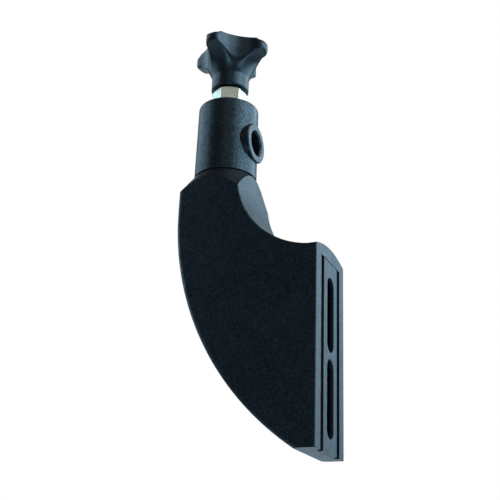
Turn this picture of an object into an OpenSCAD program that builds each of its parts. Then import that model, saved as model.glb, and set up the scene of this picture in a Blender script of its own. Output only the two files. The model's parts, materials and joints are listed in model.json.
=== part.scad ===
// Wall bracket with a swivelling clamp head for a hanger rod.
// Frame: origin on the wall plane, midway between the two screw slots.
// +Z up, +Y into the wall, so the arm reaches out along -Y and is symmetric about X = 0.

/* [Arm] */
// Width of the arm across its flat sides
arm_w = 39; // [36:0.5:44]
// Distance from the wall to the axis of the swivelling head
reach = 57; // [54:0.5:64]
// Depth of the neck in the reach direction, the same as the head's diameter
neck_d = 32; // [30:0.5:34]
// Height of the flat top of the neck above the origin
neck_top = 95.6; // [94:0.1:100]
// Height of the wall plate above the origin, at its corners
plate_high = 48; // [47:0.5:50]
// Distance from the origin down to the foot of the wall plate
plate_low = 43.5; // [43:0.5:46]
// Radius of the bowed front edge
front_r = 138.5; // [136:0.5:150]
// Height of the centre of the bowed front edge
front_z = 72.4; // [70:0.2:76]
// Radius on the long front edges of the arm
edge_r = 2; // [1:0.5:3]
// Radius on the upright edges at the wall and along the hollow
rear_edge_r = 0.8; // [0.5:0.1:2]
// Rise of the arched crest at the top of the wall plate
crest_rise = 3.3; // [2:0.1:4]
// Wall left around the pocket in the back of the arm
core_wall = 7; // [6:0.5:10]
// Slope of the shoulder between the neck and the head, in degrees from level
shoulder_slope = 53.3; // [50:0.1:56]

/* [Wall strip] */
// Width of the strip that is screwed to the wall
strip_w = 18; // [17:0.5:19]
// Thickness of the strip
strip_t = 1.6; // [1.5:0.1:2]
// Width of the screw slots
slot_w = 9; // [7:0.5:10]
// Length of the screw slots, end to end
slot_len = 35.6; // [30:0.1:36]
// Distance from the origin to the centre of each slot
slot_z = 19.35; // [18.5:0.05:20]
// Width of the recess that the strip sits in
recess_w = 25.5; // [24:0.5:28]

/* [Head] */
// Radius of the head at its foot
head_r = 16; // [15.5:0.1:17]
// Radius of the head at its top
head_top_r = 15.7; // [15:0.1:16]
// Height of the head
head_h = 41; // [40:0.5:44]
// Radius on the top edge of the head
head_edge_r = 1.5; // [0.5:0.5:3]
// Height of the rod socket's axis above the foot of the head
socket_h = 18.8; // [18:0.1:20]
// Outer radius of the socket bush
bush_r = 10.4; // [10:0.1:11]
// Radius of the rod socket
socket_r = 6.2; // [6:0.05:6.5]
// Distance from the head's axis to the mouth of the bush
bush_out = 16.8; // [16.5:0.1:18]
// Distance that the bush reaches past the head's axis
bush_in = 8; // [7:0.5:9]
// Thickness of the slip ring between the neck and the head
ring_t = 0.6; // [0.5:0.1:1]

/* [Clamp screw] */
// Nominal radius of the clamp screw
screw_r = 5; // [5]
// Width of the lock nut across its flats
nut_af = 16.1; // [16:0.1:17]
// Height of the lock nut
nut_h = 8.4; // [8:0.1:9]
// Turn of the lock nut's corners about the axis, in degrees
nut_turn = -4; // [-30:1:30]
// Radius of the flat washer under the lock nut
washer_r = 10; // [9.5:0.1:10.5]
// Space between the lock nut and the knob
knob_gap = 1; // [1:0.1:2]

/* [Knob] */
// Radius of the knob over its lobes
knob_r = 22; // [20:0.5:25]
// Height of the knob with its hub
knob_h = 28.8; // [26:0.1:32]
// Radius of the knob's hub
hub_r = 9.95; // [9.5:0.05:11]
// Height of the straight part of the hub
hub_h = 8; // [7:0.1:10]
// Radius of each lobe's tip, seen from above
lobe_r = 4.4; // [4:0.1:6]
// Radius of the knob at the waist between two lobes
waist_r = 13; // [12:0.5:14]
// Turn of the lobes about the axis, in degrees
knob_turn = -7; // [-45:1:45]

/* [Hidden] */
$fn = 96;

eps = 0.01;
over = 1;                            // how far a cutter runs past a face
gap = 0.3;                           // space between parts that slide or rest on each other
inner_r = reach - neck_d / 2;        // hollow under the neck, tangent to plate and neck
inner_z = plate_high + inner_r;
front_y = -(reach + neck_d / 2);     // foremost line of the arm
front_cy = front_y + front_r;
shoulder_h = 14;                     // height over which the shoulder is cut
crest_r = (pow(arm_w / 2, 2) + pow(crest_rise, 2)) / (2 * crest_rise);
crest_d = 9;                         // depth of the crest at its root

recess_d = strip_t + gap;            // depth of the strip's recess
strip_top = 44.2;                    // upper end of the strip
recess_top = strip_top + 0.4;
core_w = strip_w - 0.4;              // pocket behind the strip, covered by it
core_d = 36;
core_low = -(plate_low - 4);
core_top = recess_top - 1;
hook_w = 16;                         // hook heads on the strip
hook_t = 2.5;
hook_stem_w = 10;
lip_t = 3;                           // lips of the arm that the hooks hold
hook_y = -(recess_d + lip_t + gap);  // back of the hook heads
mid_hook_h = 2.6;                    // hook on the web between the slots
top_hook_h = 4;
top_hook_z = core_top - gap - top_hook_h / 2;
mid_lip_h = 4;
top_lip_z = top_hook_z - top_hook_h / 2 - 0.2;

ring_inset = 0.7;                    // slip ring set back from the faces above and below it
head_z = neck_top + ring_t + gap;    // foot of the head
head_top = head_z + head_h;
socket_z = head_z + socket_h;
spigot_r = 9;                        // journal of the head in the neck
spigot_h = 14.5;
bearing_gap = 0.05;                  // radial clearance of each running fit
pocket_z = head_z + 2;               // floor of the pivot screw's pocket
pocket_r = 5.6;
pivot_r = 3;                         // pivot screw, M6 with a socket head
pivot_head_r = 5;
pivot_head_h = 6;
pivot_key_af = 5;
spring_t = 0.8;
pivot_seat = pocket_z + 0.2 + spring_t;
insert_r = 4.3;
insert_top = head_z - spigot_h - 1.5;
insert_h = 12;
pivot_tip = insert_top - insert_h + 1;

washer_z = head_top + 0.2;
washer_t = 1.8;
nut_z = washer_z + washer_t + 0.1;
knob_z = nut_z + nut_h + knob_gap;
pad_r = 4.2;
pad_t = 2.4;
pad_stem_r = 1.95;
pad_stem_h = 4;
pad_z = socket_z + socket_r + 0.15;
screw_tip = pad_z + pad_t + 0.1;
stud_in_knob = 18;                   // length of the stud moulded into the knob
flange_r = 7.5;                      // anchor collar of the stud inside the knob
flange_t = 3;

lobe_x = knob_r - lobe_r;            // centre of each lobe's tip
// centre and radius of the hollow flank, tangent to two tips and as deep as the waist
flank_d = (pow(lobe_x, 2) - pow(waist_r - lobe_r, 2)) / (sqrt(2) * lobe_x - 2 * (waist_r - lobe_r));
flank_r = flank_d - waist_r + 0.12;
lobe_tip_r = 3.4;                    // rounding of each tip, seen from the side
lobe_tip_x = knob_r + 0.2 - lobe_tip_r;
lobe_tip_z = 23;
dome_r = 95;                         // domed top of the knob
flare_r = 27;                        // flare from the hub to the underside of the lobes
flare_end = [knob_r, 22.5];
flare_chord = flare_end - [hub_r, hub_h];
flare_off = sqrt(pow(flare_r, 2) - pow(norm(flare_chord) / 2, 2)) / norm(flare_chord);
flare_at = [(hub_r + flare_end.x) / 2 + flare_off * flare_chord.y,
            (hub_h + flare_end.y) / 2 - flare_off * flare_chord.x];

module at_axis(z = 0) {
    translate([0, -reach, z]) children();
}

// Extrudes a side outline, drawn as (Y, Z), symmetrically along X
module along_x(w) {
    rotate([90, 0, 90]) linear_extrude(height = w, center = true) children();
}

// Turns a half outline, drawn as (radius, X), about a line along X through (y, z)
module about_x(y, z) {
    translate([0, y, z]) rotate([0, 90, 0]) rotate_extrude($fn = 180) children();
}

// Box between two X, two Y and two Z values
module slab(x, y, z) {
    translate([x[0], y[0], z[0]]) cube([x[1] - x[0], y[1] - y[0], z[1] - z[0]]);
}

// Square corner with the rounding left out of it: the cutter for a rounded edge at the origin,
// for material on the side of -x and -y
module edge_cut(r) {
    difference() {
        translate([-r, -r]) square(r + over);
        translate([-r, -r]) circle(r = r);
    }
}

// Upright cutter for the rounded edge at (x, y), turned so that material lies as in edge_cut
module upright_edge_cut(x, y, turn, z0, z1, r = edge_r) {
    translate([x, y, z0]) rotate([0, 0, turn]) linear_extrude(height = z1 - z0) edge_cut(r);
}

// Bowed front: a wide disc with rounded rims, and above its centre line an upright block
module front_form() {
    h = arm_w / 2;
    about_x(front_cy, front_z) union() {
        translate([0, -h]) square([front_r - edge_r, arm_w]);
        translate([0, edge_r - h]) square([front_r, arm_w - 2 * edge_r]);
        translate([front_r - edge_r, edge_r - h]) circle(r = edge_r);
        translate([front_r - edge_r, h - edge_r]) circle(r = edge_r);
    }
    difference() {
        slab([-h, h], [front_y, 0], [front_z, neck_top + over]);
        upright_edge_cut(h, front_y, -90, front_z - over, neck_top + 2 * over);
        upright_edge_cut(-h, front_y, 180, front_z - over, neck_top + 2 * over);
    }
}

// Hollow between the neck and the plate, with the rounding of its two side edges
module hollow_form() {
    h = arm_w / 2;
    about_x(0, inner_z) union() {
        translate([0, -h - over]) square([inner_r, arm_w + 2 * over]);
        for (s = [-1, 1])
            scale([1, s]) translate([inner_r, h]) mirror([1, 0]) edge_cut(rear_edge_r);
    }
    slab([-h - over, h + over], [-inner_r, over], [inner_z, neck_top + 2 * over]);
    upright_edge_cut(h, -inner_r, 0, inner_z, neck_top + 2 * over, rear_edge_r);
    upright_edge_cut(-h, -inner_r, 90, inner_z, neck_top + 2 * over, rear_edge_r);
}

// What the conical shoulder takes off the top of the neck
module shoulder_form() {
    r0 = neck_d / 2;
    r1 = r0 + shoulder_h / tan(shoulder_slope);
    difference() {
        translate([-arm_w, -2 * reach, neck_top - shoulder_h]) cube([2 * arm_w, 2 * reach, 30]);
        at_axis(neck_top - shoulder_h - eps)
            cylinder(h = shoulder_h + eps, r1 = r1, r2 = r0);
    }
}

// Arched crest of the wall plate, fading into the hollow
module crest() {
    intersection() {
        translate([0, over, plate_high + crest_rise - crest_r]) rotate([90, 0, 0])
            cylinder(h = 2 * crest_d, r = crest_r, $fn = 180);
        along_x(arm_w) difference() {
            translate([-crest_d, plate_high - 4]) square([crest_d, 4 + crest_rise]);
            translate([-crest_d - 1.2, plate_high + crest_d - 0.2]) circle(r = crest_d);
        }
    }
}

// Pocket in the back of the arm that takes the screw heads and the hooks
module core_form() {
    w = core_w / 2;
    intersection() {
        slab([-w, w], [-core_d, over], [core_low, core_top]);
        about_x(front_cy, front_z)
            translate([0, -w - over]) square([front_r - core_wall, core_w + 2 * over]);
    }
}

// Lips across the pocket, each with a gate for the stem of a hook
module lip(z0, z1) {
    w = core_w / 2;
    s = hook_stem_w / 2 + gap;
    for (x = [[-w - eps, -s], [s, w + eps]])
        slab(x, [-(recess_d + lip_t), -recess_d], [z0, z1]);
}

module arm_body() {
    h = arm_w / 2;
    color([0.08, 0.09, 0.11]) {
        difference() {
            union() {
                difference() {
                    intersection() {
                        front_form();
                        slab([-h, h], [front_y - over, 0], [-plate_low, neck_top]);
                    }
                    hollow_form();
                    shoulder_form();
                }
                crest();
            }
            upright_edge_cut(h, 0, 0, -plate_low - over, plate_high + crest_rise + over, rear_edge_r);
            upright_edge_cut(-h, 0, 90, -plate_low - over, plate_high + crest_rise + over, rear_edge_r);
            slab([-recess_w / 2, recess_w / 2], [-recess_d, over], [-plate_low - over, recess_top]);
            core_form();
            at_axis(insert_top) cylinder(h = neck_top, r = spigot_r + bearing_gap);
            at_axis(insert_top - insert_h - 2) cylinder(h = insert_h + 3, r = insert_r);
        }
        lip(-mid_lip_h / 2, mid_lip_h / 2);
        lip(top_lip_z, core_top + eps);
    }
}

// T-shaped hook on the front of the strip
module hook(z, h) {
    slab([-hook_stem_w / 2, hook_stem_w / 2], [hook_y - eps, -strip_t + eps], [z - h / 2, z + h / 2]);
    slab([-hook_w / 2, hook_w / 2], [hook_y - hook_t, hook_y], [z - h / 2, z + h / 2]);
}

module slot_form() {
    rotate([90, 0, 0]) for (z = [slot_z, -slot_z]) translate([0, z, -over]) {
        linear_extrude(height = strip_t + 2 * over) union() {
            square([slot_w, slot_len - slot_w], center = true);
            for (e = [-1, 1]) translate([0, e * (slot_len - slot_w) / 2]) circle(d = slot_w);
        }
    }
}

module wall_strip() {
    color([0.14, 0.15, 0.17]) {
        difference() {
            slab([-strip_w / 2, strip_w / 2], [-strip_t, 0], [-plate_low, strip_top]);
            slot_form();
        }
        hook(0, mid_hook_h);
        hook(top_hook_z, top_hook_h);
    }
}

module swivel_ring() {
    color([0.10, 0.10, 0.11]) at_axis(neck_top) difference() {
        cylinder(h = ring_t, r = head_r - ring_inset);
        translate([0, 0, -over]) cylinder(h = ring_t + 2 * over, r = spigot_r + 0.4);
    }
}

module thread_insert() {
    color([0.72, 0.58, 0.28]) at_axis(insert_top - insert_h) difference() {
        cylinder(h = insert_h, r = insert_r);
        translate([0, 0, -over]) cylinder(h = insert_h + 2 * over, r = pivot_r);
    }
}

module pivot_screw() {
    color([0.3, 0.31, 0.33]) at_axis() difference() {
        union() {
            translate([0, 0, pivot_tip]) cylinder(h = pivot_seat - pivot_tip + eps, r = pivot_r);
            translate([0, 0, pivot_seat]) cylinder(h = pivot_head_h, r = pivot_head_r);
        }
        translate([0, 0, pivot_seat + pivot_head_h - 3])
            cylinder(h = 3 + over, d = pivot_key_af / cos(30), $fn = 6);
    }
}

// Conical spring washer under the head of the pivot screw
module disc_spring() {
    rise = 0.3;
    color([0.6, 0.6, 0.58]) at_axis(pivot_seat - spring_t) rotate_extrude()
        polygon([[pivot_r + 0.15, rise], [pivot_head_r + 0.2, 0],
                 [pivot_head_r + 0.2, spring_t - rise], [pivot_r + 0.15, spring_t]]);
}

module head_outline() {
    polygon([[0, 0], [head_r, 0], [head_top_r, head_h - head_edge_r], [0, head_h - head_edge_r]]);
    translate([0, head_h - head_edge_r - eps])
        square([head_top_r - head_edge_r, head_edge_r + eps]);
    translate([head_top_r - head_edge_r, head_h - head_edge_r]) circle(r = head_edge_r);
}

module swivel_head() {
    color([0.10, 0.12, 0.14]) at_axis() difference() {
        union() {
            translate([0, 0, head_z]) rotate_extrude() intersection() {
                head_outline();
                square([head_r + over, head_h + over]);
            }
            translate([0, 0, head_z - spigot_h]) cylinder(h = spigot_h + eps, r = spigot_r);
        }
        translate([0, -bush_in, socket_z]) rotate([-90, 0, 0]) cylinder(h = 2 * head_r, r = bush_r);
        translate([0, 0, head_z - spigot_h - over]) cylinder(h = head_h, r = pivot_r + gap);
        translate([0, 0, pocket_z]) cylinder(h = socket_h, r = pocket_r);
        translate([0, 0, socket_z]) cylinder(h = head_h, r = screw_r + bearing_gap);
    }
}

// Bush with the rod socket; its top is open to the thrust pad and its floor to the pivot screw
module socket_bush() {
    mouth = 0.8;
    len = bush_out + bush_in;
    color([0.12, 0.13, 0.15]) at_axis() difference() {
        translate([0, -bush_in, socket_z]) rotate([-90, 0, 0]) rotate_extrude()
            polygon([[socket_r, 0], [bush_r, 0], [bush_r, len - 0.5], [bush_r - 0.5, len],
                     [socket_r + mouth, len], [socket_r, len - mouth]]);
        translate([0, 0, socket_z]) cylinder(h = 2 * bush_r, r = screw_r + 0.3);
        translate([0, 0, socket_z - 2 * bush_r]) cylinder(h = 2 * bush_r, r = pocket_r);
    }
}

module flat_washer() {
    color([0.70, 0.70, 0.68]) at_axis(washer_z) difference() {
        cylinder(h = washer_t, r = washer_r);
        translate([0, 0, -over]) cylinder(h = washer_t + 2 * over, r = screw_r + 0.4);
    }
}

module hex_lock_nut() {
    corner = nut_af / 2 / cos(30);
    bevel = (corner - nut_af / 2) * tan(30);
    color([0.74, 0.74, 0.68]) at_axis(nut_z) difference() {
        intersection() {
            rotate([0, 0, nut_turn]) cylinder(h = nut_h, r = corner, $fn = 6);
            rotate_extrude() polygon([[0, 0], [nut_af / 2, 0], [corner + eps, bevel],
                                      [corner + eps, nut_h - bevel], [nut_af / 2, nut_h], [0, nut_h]]);
        }
        translate([0, 0, -over]) cylinder(h = nut_h + 2 * over, r = screw_r + bearing_gap);
    }
}

module thrust_pad() {
    color([0.82, 0.80, 0.72]) at_axis(pad_z) {
        cylinder(h = pad_t, r = pad_r);
        translate([0, 0, pad_t - eps]) cylinder(h = pad_stem_h, r = pad_stem_r);
    }
}

module clamp_screw() {
    color([0.66, 0.67, 0.66]) at_axis() difference() {
        union() {
            translate([0, 0, screw_tip]) cylinder(h = knob_z + stud_in_knob - screw_tip, r = screw_r);
            translate([0, 0, knob_z + stud_in_knob - flange_t]) cylinder(h = flange_t, r = flange_r);
        }
        translate([0, 0, screw_tip - over])
            cylinder(h = pad_stem_h + over + 0.4, r = pad_stem_r + bearing_gap);
    }
}

// Plan of the knob: four round tips joined by hollow flanks that just enter the tips
module lobe_plan() {
    difference() {
        rotate(45) square(2 * lobe_x * cos(45) + lobe_r, center = true);
        for (a = [45:90:315]) rotate(a) translate([flank_d, 0]) circle(r = flank_r, $fn = 128);
        for (a = [0:90:270]) rotate(a) translate([lobe_x, -knob_r]) square(2 * knob_r);
    }
    for (a = [0:90:270]) rotate(a) translate([lobe_x, 0]) circle(r = lobe_r);
}

// Turned outline of the knob: straight hub, flared underside, round tips and domed top
module knob_outline() {
    square([hub_r, hub_h + over]);
    difference() {
        intersection() {
            translate([0, hub_h - 0.4]) square([lobe_tip_x, knob_h]);
            translate([0, knob_h - dome_r]) circle(r = dome_r, $fn = 360);
        }
        translate(flare_at) circle(r = flare_r, $fn = 180);
    }
    translate([lobe_tip_x, lobe_tip_z]) circle(r = lobe_tip_r);
}

module star_knob() {
    color([0.09, 0.11, 0.13]) at_axis(knob_z) difference() {
        intersection() {
            rotate_extrude() knob_outline();
            rotate([0, 0, knob_turn]) linear_extrude(height = knob_h + over) lobe_plan();
        }
        translate([0, 0, -over]) cylinder(h = stud_in_knob + over, r = screw_r);
        translate([0, 0, stud_in_knob - flange_t]) cylinder(h = flange_t, r = flange_r);
    }
}

wall_strip();
arm_body();
thread_insert();
swivel_ring();
pivot_screw();
disc_spring();
swivel_head();
socket_bush();
flat_washer();
hex_lock_nut();
thrust_pad();
clamp_screw();
star_knob();
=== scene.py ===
"""Wall bracket of a guitar hanger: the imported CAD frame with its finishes, camera and studio."""
import json
import math

import bmesh
import bpy
from mathutils import Matrix, Vector


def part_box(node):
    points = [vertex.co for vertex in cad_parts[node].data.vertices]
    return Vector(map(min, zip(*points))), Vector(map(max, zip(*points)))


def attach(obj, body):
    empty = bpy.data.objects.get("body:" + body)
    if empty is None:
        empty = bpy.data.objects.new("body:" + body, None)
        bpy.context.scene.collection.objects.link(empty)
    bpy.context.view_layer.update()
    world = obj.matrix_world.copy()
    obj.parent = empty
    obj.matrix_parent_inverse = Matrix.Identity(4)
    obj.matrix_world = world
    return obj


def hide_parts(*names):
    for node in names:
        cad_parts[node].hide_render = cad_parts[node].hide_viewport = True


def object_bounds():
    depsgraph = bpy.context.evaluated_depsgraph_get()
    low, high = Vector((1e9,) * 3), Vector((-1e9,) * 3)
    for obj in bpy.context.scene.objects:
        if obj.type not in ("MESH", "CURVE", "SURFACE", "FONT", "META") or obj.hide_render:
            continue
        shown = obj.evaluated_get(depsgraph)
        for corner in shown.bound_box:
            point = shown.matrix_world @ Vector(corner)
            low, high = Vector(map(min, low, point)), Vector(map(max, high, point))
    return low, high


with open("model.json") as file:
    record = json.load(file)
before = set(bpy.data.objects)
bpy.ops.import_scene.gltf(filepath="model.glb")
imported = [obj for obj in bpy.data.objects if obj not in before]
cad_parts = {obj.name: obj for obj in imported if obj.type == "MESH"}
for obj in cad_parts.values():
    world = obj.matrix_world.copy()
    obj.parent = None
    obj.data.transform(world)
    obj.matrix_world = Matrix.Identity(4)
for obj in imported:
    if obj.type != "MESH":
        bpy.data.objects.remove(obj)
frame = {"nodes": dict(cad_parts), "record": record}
CAD_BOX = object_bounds()
MM = 0.001
NODES = frame["nodes"]


# ---------------------------------------------------------------- shader helpers

MIX_FACTOR, MIX_FIRST, MIX_SECOND, MIX_COLOUR = 0, 6, 7, 2    # colour sockets of a Mix node
EDGE_SAMPLES = 6
HIGHLIT_EDGE_COSINES = 0.80, 0.985             # of the turn at an edge, with the full painted highlight and with none


class Shader:
    """A node material under construction, with its Principled shader."""

    def __init__(self, name):
        self.material = bpy.data.materials.new(name)
        self.material.use_nodes = True
        self.tree = self.material.node_tree
        self.surface = self.tree.nodes["Principled BSDF"]
        self.place = self.node("ShaderNodeTexCoord").outputs["Object"]

    def node(self, kind, **values):
        made = self.tree.nodes.new(kind)
        for key, value in values.items():
            setattr(made, key, value)
        return made

    def link(self, source, target):
        self.tree.links.new(source, target)

    def stretched(self, stretch):
        """Object coordinates scaled by stretch along each axis."""
        mapping = self.node("ShaderNodeMapping")
        mapping.inputs["Scale"].default_value = stretch
        self.link(self.place, mapping.inputs["Vector"])
        return mapping.outputs["Vector"]

    def noise(self, scale, detail=2.0, rough=0.5, vector=None):
        """Noise with about that many features to a metre."""
        made = self.node("ShaderNodeTexNoise")
        made.inputs["Scale"].default_value = scale
        made.inputs["Detail"].default_value = detail
        made.inputs["Roughness"].default_value = rough
        self.link(vector or self.place, made.inputs["Vector"])
        return made.outputs["Fac"]

    def spread(self, source, low, high, start=0.3, end=0.7):
        """source between start and end turned into low to high."""
        made = self.node("ShaderNodeMapRange")
        limits = {"From Min": start, "From Max": end, "To Min": low, "To Max": high}
        for key, value in limits.items():
            made.inputs[key].default_value = value
        self.link(source, made.inputs["Value"])
        return made.outputs["Result"]

    def tones(self, source, dark, light, start=0.35, end=0.65):
        """Colours from dark to light along source."""
        made = self.node("ShaderNodeValToRGB")
        ramp = made.color_ramp.elements
        ramp[0].position, ramp[0].color = start, (*dark, 1)
        ramp[1].position, ramp[1].color = end, (*light, 1)
        self.link(source, made.inputs["Fac"])
        return made.outputs["Color"]

    def mix(self, factor, first, second):
        """Colour from first to second as factor goes from 0 to 1."""
        made = self.node("ShaderNodeMix", data_type="RGBA")
        for source, socket in ((factor, MIX_FACTOR), (first, MIX_FIRST), (second, MIX_SECOND)):
            self.link(source, made.inputs[socket])
        return made.outputs[MIX_COLOUR]

    def bump(self, source, depth, below=None):
        """Surface relief of that depth in metres, on top of the normal given."""
        made = self.node("ShaderNodeBump")
        made.inputs["Distance"].default_value = depth
        self.link(source, made.inputs["Height"])
        if below:
            self.link(below, made.inputs["Normal"])
        return made.outputs["Normal"]

    def soft_edges(self, radius):
        """Normal rounded over every edge."""
        made = self.node("ShaderNodeBevel", samples=EDGE_SAMPLES)
        made.inputs["Radius"].default_value = radius
        return made.outputs["Normal"]

    def painted_edge_highlight(self, radius):
        """1 on edges, which get a painted highlight, 0 on open faces."""
        flat = self.node("ShaderNodeNewGeometry")
        likeness = self.node("ShaderNodeVectorMath", operation="DOT_PRODUCT")
        self.link(self.soft_edges(radius), likeness.inputs[0])
        self.link(flat.outputs["Normal"], likeness.inputs[1])
        return self.spread(likeness.outputs["Value"], 1, 0, *HIGHLIT_EDGE_COSINES)

    def use(self, socket, source):
        """Drives a socket of the surface from a node."""
        self.link(source, self.surface.inputs[socket])

    def put(self, socket, value):
        """Sets a socket of the surface to a constant."""
        self.surface.inputs[socket].default_value = value


# ---------------------------------------------------------------- finishes

PLAIN_SHEEN = (1, 1, 1)
COOL_SHEEN = (0.50, 0.78, 1.0)         # tint of what the black paint and the knob reflect


def coating(name, dark, light, gloss, grain, relief, edge=0.25 * MM):
    """Powder coat on metal, from dark to light and with roughness between the two values of gloss.

    The grain, in features to a metre, shows in its relief and sheen, and its edges get a faint painted
    highlight.
    """
    speck_gain, highlight_gain = 1.9, 3.2    # brightness of the specks and of the painted edge highlight over light
    wave_width, wave_depth = 8, 1.6    # orange peel, as multiples of the grain
    s = Shader(name)
    cloud = s.noise(45, 3)
    speck = s.noise(2600, 2, 0.6)
    body = s.mix(s.spread(speck, 0, 0.5), s.tones(cloud, dark, light),
                 s.tones(speck, dark, tuple(speck_gain * c for c in light)))
    # painted highlight: lighter paint laid over the edges, where the edge mask is 1
    painted_highlight = s.tones(s.noise(700, 3), light, tuple(highlight_gain * c for c in light))
    s.use("Base Color", s.mix(s.painted_edge_highlight(edge), body, painted_highlight))
    s.use("Roughness", s.spread(s.noise(160, 4, 0.65), *gloss))
    s.use("Specular IOR Level", s.spread(s.noise(1100, 2, 0.6), 0.25, 0.75, 0.38, 0.62))
    s.put("Specular Tint", (*COOL_SHEEN, 1))
    pits = s.bump(s.noise(grain, 3, 0.6), relief, s.soft_edges(edge))
    s.use("Normal", s.bump(s.noise(grain / wave_width, 2), relief * wave_depth, pits))
    return s.material


def plated(name, dark, light, gloss, stretch, relief=0.004 * MM, edge=0.12 * MM):
    """Plated or bare metal with fine machining lines along stretch and cloudy tarnish."""
    s = Shader(name)
    lines = s.noise(900, 3, 0.7, s.stretched(stretch))
    tarnish = s.noise(140, 4, 0.6)
    s.use("Base Color", s.mix(s.spread(lines, 0.1, 0.8), s.tones(tarnish, dark, light),
                              s.tones(lines, dark, light)))
    s.put("Metallic", 1.0)
    s.use("Roughness", s.spread(s.noise(380, 4, 0.7), *gloss))
    s.use("Normal", s.bump(lines, relief, s.soft_edges(edge)))
    return s.material


def moulded(name, dark, light, gloss, relief=0.012 * MM, sheen=PLAIN_SHEEN):
    """Injection moulded plastic: spark-eroded grain, slight waviness and uneven sheen."""
    wave_depth = 5                     # as a multiple of the grain's depth
    s = Shader(name)
    s.use("Base Color", s.mix(s.spread(s.noise(1900, 2), 0, 0.6),
                              s.tones(s.noise(90, 3), dark, light),
                              s.tones(s.noise(620, 2), dark, light)))
    s.use("Roughness", s.spread(s.noise(240, 4, 0.6), *gloss))
    s.put("Specular Tint", (*sheen, 1))
    fine = s.bump(s.noise(1700, 3, 0.6), relief)
    s.use("Normal", s.bump(s.noise(110, 2), relief * wave_depth, fine))
    return s.material


FINISHES = {
    "arm_paint": coating("arm_coating", (0.0030, 0.0036, 0.0052), (0.0054, 0.0062, 0.0088),
                         (0.34, 0.44), 1500, 0.040 * MM),
    "strip_paint": coating("strip_coating", (0.0060, 0.0072, 0.0096), (0.0105, 0.0122, 0.0158),
                           (0.36, 0.50), 1900, 0.024 * MM, 0.18 * MM),
    "head_paint": coating("head_coating", (0.0045, 0.0062, 0.0072), (0.0075, 0.0098, 0.0112),
                          (0.26, 0.38), 1300, 0.034 * MM),
    "bush_paint": coating("bush_coating", (0.0045, 0.0058, 0.0066), (0.0078, 0.0092, 0.0105),
                          (0.28, 0.40), 1500, 0.006 * MM, 0.18 * MM),
    "nut_zinc": plated("nut_plating", (0.50, 0.52, 0.42), (0.78, 0.80, 0.70),
                       (0.24, 0.40), (1, 1, 0.12)),
    "washer_zinc": plated("washer_plating", (0.48, 0.49, 0.43), (0.74, 0.75, 0.70),
                          (0.26, 0.42), (1, 1, 0.2)),
    "stud_zinc": plated("stud_plating", (0.46, 0.47, 0.43), (0.72, 0.73, 0.70),
                        (0.24, 0.40), (0.3, 0.3, 1)),
    "screw_steel": plated("oxide_steel", (0.030, 0.031, 0.036), (0.075, 0.077, 0.085),
                          (0.34, 0.50), (1, 1, 0.3)),
    "spring_steel": plated("spring_steel", (0.34, 0.34, 0.33), (0.56, 0.55, 0.53),
                           (0.28, 0.42), (1, 1, 0.3)),
    "insert_brass": plated("turned_brass", (0.50, 0.35, 0.13), (0.78, 0.60, 0.28),
                           (0.20, 0.36), (1, 1, 0.1)),
    "ring_plastic": moulded("ring_acetal", (0.008, 0.008, 0.009), (0.018, 0.018, 0.020),
                            (0.40, 0.55)),
    "pad_plastic": moulded("pad_nylon", (0.60, 0.57, 0.48), (0.80, 0.77, 0.68),
                           (0.42, 0.58), 0.010 * MM),
    "knob_plastic": moulded("knob_moulding", (0.0050, 0.0068, 0.0080), (0.0090, 0.0118, 0.0135),
                            (0.24, 0.34), 0.006 * MM, COOL_SHEEN),
}
SLOT_OF = {part["node"]: part["material_slot"] for part in frame["record"]["subparts"]}


def dress(obj, slot_name):
    """Gives a piece the finish of its material slot."""
    obj.data.materials.clear()
    obj.data.materials.append(FINISHES[slot_name])


# ---------------------------------------------------------------- pieces that replace CAD nodes

def middle(node):
    """Centre of a node's box across the axis of the head, in metres."""
    low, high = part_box(node)
    return (low[0] + high[0]) / 2, (low[1] + high[1]) / 2


HEAD_AXIS = middle("flat_washer")


def turned(name, rows, columns):
    """A closed skin about the head's axis: rows of (height, radius by angle), from the foot up."""
    bm = bmesh.new()
    cx, cy = HEAD_AXIS
    rings = []
    for height, radius in rows:
        ring = []
        for j in range(columns):
            a = 2 * math.pi * j / columns
            r = radius(a)
            ring.append(bm.verts.new((cx + r * math.cos(a), cy + r * math.sin(a), height)))
        rings.append(ring)
    for lower, upper in zip(rings, rings[1:]):
        for j in range(columns):
            k = (j + 1) % columns
            bm.faces.new((lower[j], lower[k], upper[k], upper[j]))
    foot = bm.verts.new((cx, cy, rows[0][0]))
    crown = bm.verts.new((cx, cy, rows[-1][0]))
    for j in range(columns):
        k = (j + 1) % columns
        bm.faces.new((foot, rings[0][k], rings[0][j]))
        bm.faces.new((crown, rings[-1][j], rings[-1][k]))
    for face in bm.faces:
        face.smooth = True
    mesh = bpy.data.meshes.new(name)
    bm.to_mesh(mesh)
    bm.free()
    obj = bpy.data.objects.new(name, mesh)
    bpy.context.scene.collection.objects.link(obj)
    return obj


def soft_min(a, b, blend):
    """The lesser of a and b, rounded over where they are within blend of each other."""
    h = max(blend - abs(a - b), 0) / blend
    return min(a, b) - h * h * blend / 4


KNOB_R, HUB_R, HUB_H = 21.97 * MM, 9.93 * MM, 8.0 * MM
LOBE_R, WAIST_R = 4.4 * MM, 13.0 * MM  # in plan, at a lobe's tip and between two lobes
LOBES = 4
KNOB_TURN = math.radians(-7)
TIP_R, TIP_Z = 3.4 * MM, 23.0 * MM     # round edge of a lobe, seen from the side
FLARE_R, FLARE_TOP = 27.0 * MM, 22.5 * MM
DOME_R, DOME_FROM = 95.0 * MM, TIP_Z + TIP_R * 0.7    # of the top, and where its rows begin
DRAFT, DRAFT_TOP = 0.06, 21.0 * MM     # lean of the hollow flanks below that height
CREASE = 1.2 * MM                      # softness of the crease between flank and underside
HUB_LIP = 0.5 * MM                     # rounding of the hub's lower edge
LIP_ANGLES = (22, 45, 67, 90)
HUB_ROWS, FLANK_ROWS, DOME_ROWS = 8, 64, 44
KNOB_COLUMNS = 288
HEADROOM = 0.02 * MM                   # left under the top of the CAD knob


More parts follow.
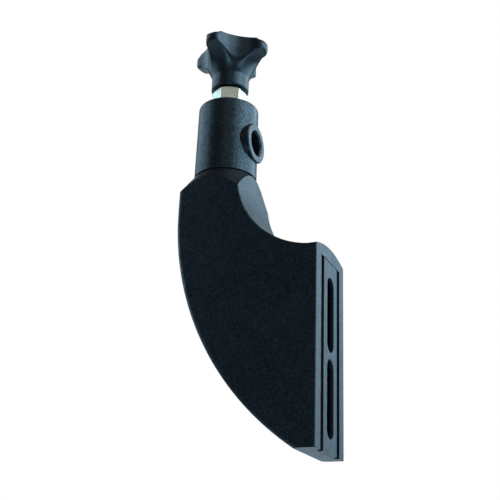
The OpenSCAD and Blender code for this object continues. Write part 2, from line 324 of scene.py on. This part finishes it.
def lobe_plan(angle, draft):
    """Radius of the knob's plan, taken in by draft: round tips joined by hollow flanks."""
    half = math.pi / LOBES
    tip_at = KNOB_R - LOBE_R
    inner = WAIST_R - LOBE_R
    reach = (tip_at ** 2 - inner ** 2) / (2 * math.cos(half) * tip_at - 2 * inner)
    lobe = LOBE_R - draft
    hollow = reach - WAIST_R + draft
    hollow_at = Vector((reach * math.cos(half), reach * math.sin(half)))
    touch = (Vector((tip_at, 0)) - hollow_at).normalized() * hollow + hollow_at
    a = abs((angle - KNOB_TURN + half) % (2 * half) - half)
    if a < abs(math.atan2(touch.y, touch.x)):
        return tip_at * math.cos(a) + math.sqrt(lobe ** 2 - (tip_at * math.sin(a)) ** 2)
    off = reach * math.sin(half - a)
    return reach * math.cos(half - a) - math.sqrt(hollow ** 2 - off ** 2)


def knob_outline(z, height):
    """Radius of the knob's turned outline at a height above its foot."""
    span = Vector((KNOB_R - HUB_R, FLARE_TOP - HUB_H))
    off = math.sqrt(FLARE_R ** 2 - span.length_squared / 4) / span.length
    at = Vector((HUB_R, HUB_H)) + span / 2 + Vector((span.y, -span.x)) * off
    tip_at = KNOB_R - TIP_R
    if z <= HUB_H:
        flare = HUB_R
    elif z - at.y < FLARE_R:
        flare = at.x - math.sqrt(FLARE_R ** 2 - (z - at.y) ** 2)
    else:
        flare = KNOB_R
    dome = math.sqrt(max(0, 2 * DOME_R * (height - z)))
    round_tip = TIP_R ** 2 - (z - TIP_Z) ** 2
    bulge = tip_at + math.sqrt(round_tip) if round_tip > 0 else 0
    return max(min(flare, tip_at, dome), min(bulge, dome))


def knob_heights(height):
    """Heights of the knob's rows above its foot: lip, hub, flanks and dome."""
    rows = [0.0] + [HUB_LIP * (1 - math.cos(math.radians(a))) for a in LIP_ANGLES]
    rows += [HUB_LIP + (HUB_H - HUB_LIP) * i / HUB_ROWS for i in range(1, HUB_ROWS + 1)]
    rows += [HUB_H + (DOME_FROM - HUB_H) * i / FLANK_ROWS for i in range(1, FLANK_ROWS + 1)]
    dome_radii = [KNOB_R * (1 - i / DOME_ROWS) for i in range(2, DOME_ROWS)]
    dome = [height - r * r / 2 / DOME_R for r in dome_radii]
    return rows + [z for z in dome if z > DOME_FROM]


def make_knob():
    """The star knob: its turned outline cut to the plan of its lobes, with the creases softened."""
    low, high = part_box("star_knob")
    height = high[2] - low[2] - HEADROOM
    rows = []
    for z in knob_heights(height):
        outline = knob_outline(z, height)
        if z < HUB_LIP:
            outline -= HUB_LIP - math.sqrt(max(0, HUB_LIP ** 2 - (HUB_LIP - z) ** 2))
        draft = max(0, DRAFT_TOP - z) * DRAFT

        def radius(a, outline=outline, draft=draft):
            return soft_min(lobe_plan(a, draft), outline, CREASE)
        rows.append((low[2] + z, radius))
    return turned("knob_skin", rows, KNOB_COLUMNS)


STUD_R, STUD_POINT = 4.98 * MM, 0.8 * MM
THREAD_PITCH, THREAD_DEPTH = 1.5 * MM, 0.9 * MM
CREST_SHARE, FLANK_SHARE = 0.125, 0.625               # of the pitch
THREAD_ROWS = 12                                      # to a turn
THREAD_INTO_KNOB, THREAD_RUNOUT = 3 * MM, 0.2 * MM
COLLAR_R, COLLAR_UP, COLLAR_H = 7.5 * MM, 18.0 * MM, 3.0 * MM
COLLAR_STEP = 0.05 * MM
STUD_COLUMNS = 64


def make_stud():
    """The clamp screw with its right-hand thread, and the collar that anchors it in the knob."""
    low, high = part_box("clamp_screw")
    knob_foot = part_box("star_knob")[0][2]
    thread_end = knob_foot + THREAD_INTO_KNOB
    rows = []
    steps = THREAD_ROWS * int((thread_end - low[2]) / THREAD_PITCH)
    for i in range(steps + 1):
        z = low[2] + (thread_end - low[2]) * i / steps
        crest = STUD_R - max(0, STUD_POINT - (z - low[2]))

        def thread(a, z=z, crest=crest):
            phase = (z / THREAD_PITCH - a / (2 * math.pi)) % 1
            flank = min(1, max(0, (abs(phase - 0.5) * 2 - CREST_SHARE) / FLANK_SHARE))
            return min(crest, STUD_R - THREAD_DEPTH * flank)
        rows.append((z, thread))
    collar = knob_foot + COLLAR_UP - COLLAR_H
    shank = ((thread_end + THREAD_RUNOUT, STUD_R), (collar, STUD_R),
             (collar + COLLAR_STEP, COLLAR_R), (high[2] - COLLAR_STEP, COLLAR_R))
    rows += [(z, lambda a, r=r: r) for z, r in shank]
    return turned("stud_thread", rows, STUD_COLUMNS)


knob = make_knob()
stud = make_stud()
for piece, node in ((knob, "star_knob"), (stud, "clamp_screw")):
    dress(piece, SLOT_OF[node])
    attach(piece, "knob")
    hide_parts(node)

for node, obj in NODES.items():
    dress(obj, SLOT_OF[node])


# ---------------------------------------------------------------- camera and studio

CAMERA_PLACE = Vector((0.3728, 0.1267, -0.1054))
CAMERA_FORWARD = Vector((-0.84427, -0.38038, 0.37752))
CAMERA_RIGHT = Vector((-0.39714, 0.91706, 0.03586))
CAMERA_FOV = 31.15                     # degrees, both ways
CAMERA_SHIFT = (-0.002, -0.0184)
ROOM_GLOW = 0.07                       # light that reaches the object from the room itself
FLOOR_HALF, FLOOR_DROP = 0.9, 0.34     # metres, the second one below the object


def make_camera():
    """A camera at the angle and distance of the photograph."""
    data = bpy.data.cameras.new("photo_camera")
    data.sensor_width = 36.0
    data.lens = data.sensor_width / 2 / math.tan(math.radians(CAMERA_FOV / 2))
    data.shift_x, data.shift_y = CAMERA_SHIFT
    data.clip_start, data.clip_end = 0.01, 50.0
    cam = bpy.data.objects.new("photo_camera", data)
    bpy.context.scene.collection.objects.link(cam)
    right = CAMERA_RIGHT.normalized()
    back = -CAMERA_FORWARD.normalized()
    up = back.cross(right).normalized()
    turn = Matrix((right, up, back)).transposed()
    cam.matrix_world = Matrix.Translation(CAMERA_PLACE) @ turn.to_4x4()
    bpy.context.scene.camera = cam


def soft_light(name, toward, distance, size, power, tint):
    """A softbox of that size in metres and power in watts, placed beside the object and facing it."""
    low, high = CAD_BOX
    centre = (Vector(low) + Vector(high)) / 2
    data = bpy.data.lights.new(name, "AREA")
    data.shape = "RECTANGLE"
    data.size, data.size_y = size
    data.energy = power
    data.color = tint
    lamp = bpy.data.objects.new(name, data)
    direction = Vector(toward).normalized()
    lamp.location = centre + direction * distance
    lamp.rotation_euler = direction.to_track_quat("Z", "Y").to_euler()
    lamp.visible_camera = False
    bpy.context.scene.collection.objects.link(lamp)


def make_studio():
    """Soft daylight from all sides on a white background."""
    cool, plain = (0.60, 0.84, 1.0), (0.95, 1.0, 0.92)
    soft_light("window_right", (-0.50, 0.86, 0.40), 0.95, (1.45, 0.95), 14.5, cool)
    soft_light("window_front_right", (0.36, 0.94, 0.62), 1.0, (0.55, 0.60), 1.3, cool)
    soft_light("window_left", (0.15, -0.99, 0.42), 0.95, (1.05, 0.95), 5.0, cool)
    soft_light("window_behind", (-0.91, -0.41, 0.35), 1.0, (0.9, 0.9), 2.0, cool)
    soft_light("low_behind", (-0.75, -0.35, -0.36), 1.0, (0.8, 0.8), 1.8, cool)
    soft_light("above_camera", (0.91, 0.41, 0.85), 1.1, (0.60, 0.60), 0.42, plain)
    soft_light("by_camera", (0.88, 0.22, -0.40), 0.65, (0.20, 0.20), 0.8, cool)
    soft_light("low_right", (0.25, 0.90, -0.28), 0.85, (0.35, 0.30), 1.3, cool)
    soft_light("overhead", (0.12, 0.60, 0.79), 1.0, (0.8, 0.8), 3.4, plain)

    world = bpy.data.worlds.new("studio")
    bpy.context.scene.world = world
    world.use_nodes = True
    nodes, links = world.node_tree.nodes, world.node_tree.links
    seen = nodes["Background"]
    seen.inputs["Color"].default_value = (1, 1, 1, 1)
    dim = nodes.new("ShaderNodeBackground")
    dim.inputs["Color"].default_value = (1, 1, 1, 1)
    dim.inputs["Strength"].default_value = ROOM_GLOW
    path = nodes.new("ShaderNodeLightPath")
    choose = nodes.new("ShaderNodeMixShader")
    links.new(path.outputs["Is Camera Ray"], choose.inputs["Fac"])
    links.new(dim.outputs["Background"], choose.inputs[1])
    links.new(seen.outputs["Background"], choose.inputs[2])
    links.new(choose.outputs["Shader"], nodes["World Output"].inputs["Surface"])
    bpy.context.scene.view_settings.view_transform = "Standard"


def make_floor():
    """A plain pale floor well under the bracket, with a faint unevenness."""
    level = CAD_BOX[0][2] - FLOOR_DROP
    half = FLOOR_HALF
    bm = bmesh.new()
    bm.faces.new([bm.verts.new((x, y, level)) for x, y in
                  ((-half, -half), (half, -half), (half, half), (-half, half))])
    mesh = bpy.data.meshes.new("floor")
    bm.to_mesh(mesh)
    bm.free()
    floor = bpy.data.objects.new("floor", mesh)
    bpy.context.scene.collection.objects.link(floor)
    s = Shader("pale_floor")
    s.use("Base Color", s.tones(s.noise(3, 3), (0.88, 0.84, 0.80), (0.93, 0.89, 0.85)))
    s.use("Roughness", s.spread(s.noise(8, 3), 0.6, 0.8))
    mesh.materials.append(s.material)


make_camera()
make_studio()
make_floor()
